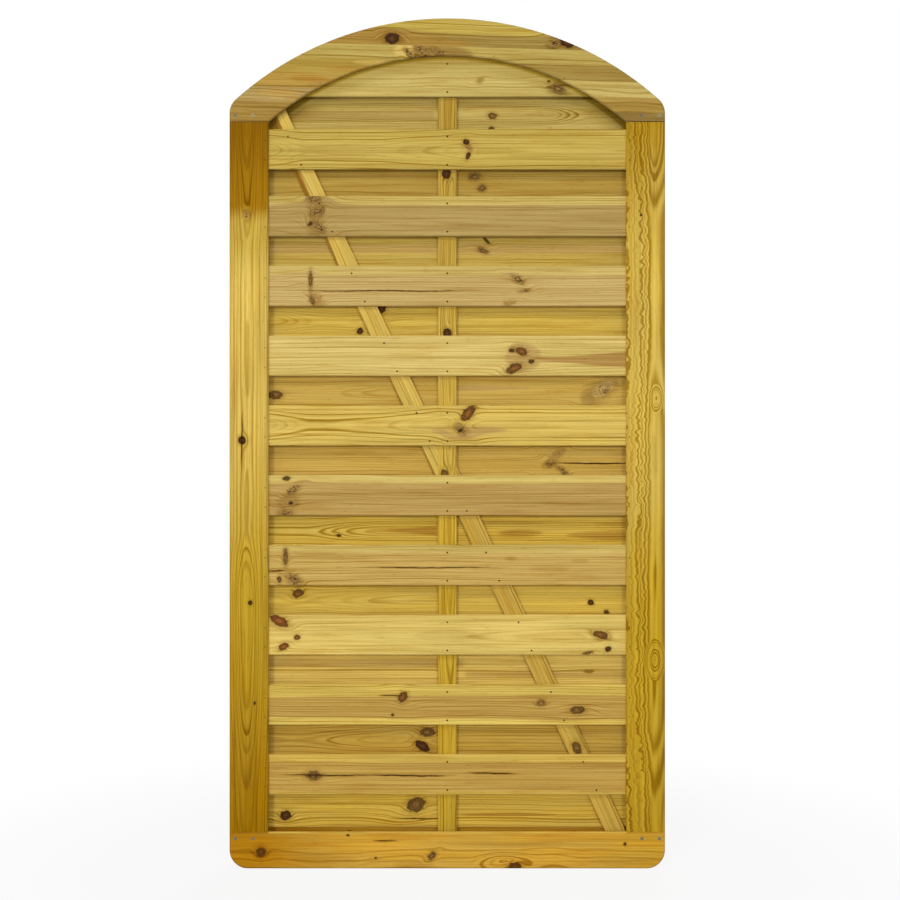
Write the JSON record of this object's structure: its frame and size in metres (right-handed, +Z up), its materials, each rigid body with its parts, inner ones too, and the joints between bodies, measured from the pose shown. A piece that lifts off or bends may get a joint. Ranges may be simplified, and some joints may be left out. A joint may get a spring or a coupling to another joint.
{
  "type": "garden gate",
  "caption": "Arch-topped timber garden gate leaf: grooved frame with a glued curved top rail, two staggered layers of level slats, a centre batten and a diagonal brace.",
  "frame": {"origin": "middle of the gate's bottom edge, halfway through its thickness", "axes": "+X along the gate to the right seen from the front, the front faces -Y, +Z up"},
  "size_m": [0.9, 0.044, 1.757],
  "materials": {
    "stile_pine": "planed, pressure-treated, uncoated",
    "rail_pine": "planed, pressure-treated, uncoated",
    "arch_pine": "planed, pressure-treated, uncoated",
    "front_slat_pine": "planed, pressure-treated, uncoated",
    "back_slat_pine": "planed, pressure-treated, uncoated",
    "batten_pine": "planed, pressure-treated, uncoated",
    "plated_screw": "zinc plated",
    "brad_steel": "dulled by treatment"
  },
  "bodies": {
    "root": {"arch_brads": "brad_steel", "arch_strip_1_left": "arch_pine", "arch_strip_1_right": "arch_pine", "arch_strip_2_left": "arch_pine", "arch_strip_2_right": "arch_pine", "arch_strip_3_left": "arch_pine", "arch_strip_3_right": "arch_pine", "arch_strip_4_left": "arch_pine", "arch_strip_4_right": "arch_pine", "arch_strip_5": "arch_pine", "arch_strip_6": "arch_pine", "back_batten_brads": "brad_steel", "back_brace_brads": "brad_steel", "back_slat_01": "back_slat_pine", "back_slat_02": "back_slat_pine", "back_slat_03": "back_slat_pine", "back_slat_04": "back_slat_pine", "back_slat_05": "back_slat_pine", "back_slat_06": "back_slat_pine", "back_slat_07": "back_slat_pine", "back_slat_08": "back_slat_pine", "back_slat_09": "back_slat_pine", "back_slat_10": "back_slat_pine", "back_slat_11": "back_slat_pine", "back_stile_brads": "brad_steel", "bottom_rail": "rail_pine", "centre_batten": "batten_pine", "corner_screws": "plated_screw", "front_batten_brads": "brad_steel", "front_brace_brads": "brad_steel", "front_slat_01": "front_slat_pine", "front_slat_02": "front_slat_pine", "front_slat_03": "front_slat_pine", "front_slat_04": "front_slat_pine", "front_slat_05": "front_slat_pine", "front_slat_06": "front_slat_pine", "front_slat_07": "front_slat_pine", "front_slat_08": "front_slat_pine", "front_slat_09": "front_slat_pine", "front_slat_10": "front_slat_pine", "front_slat_11": "front_slat_pine", "front_stile_brads": "brad_steel", "left_stile": "stile_pine", "lower_brace": "batten_pine", "right_stile": "stile_pine", "upper_brace": "batten_pine"}
  },
  "joints": []
}
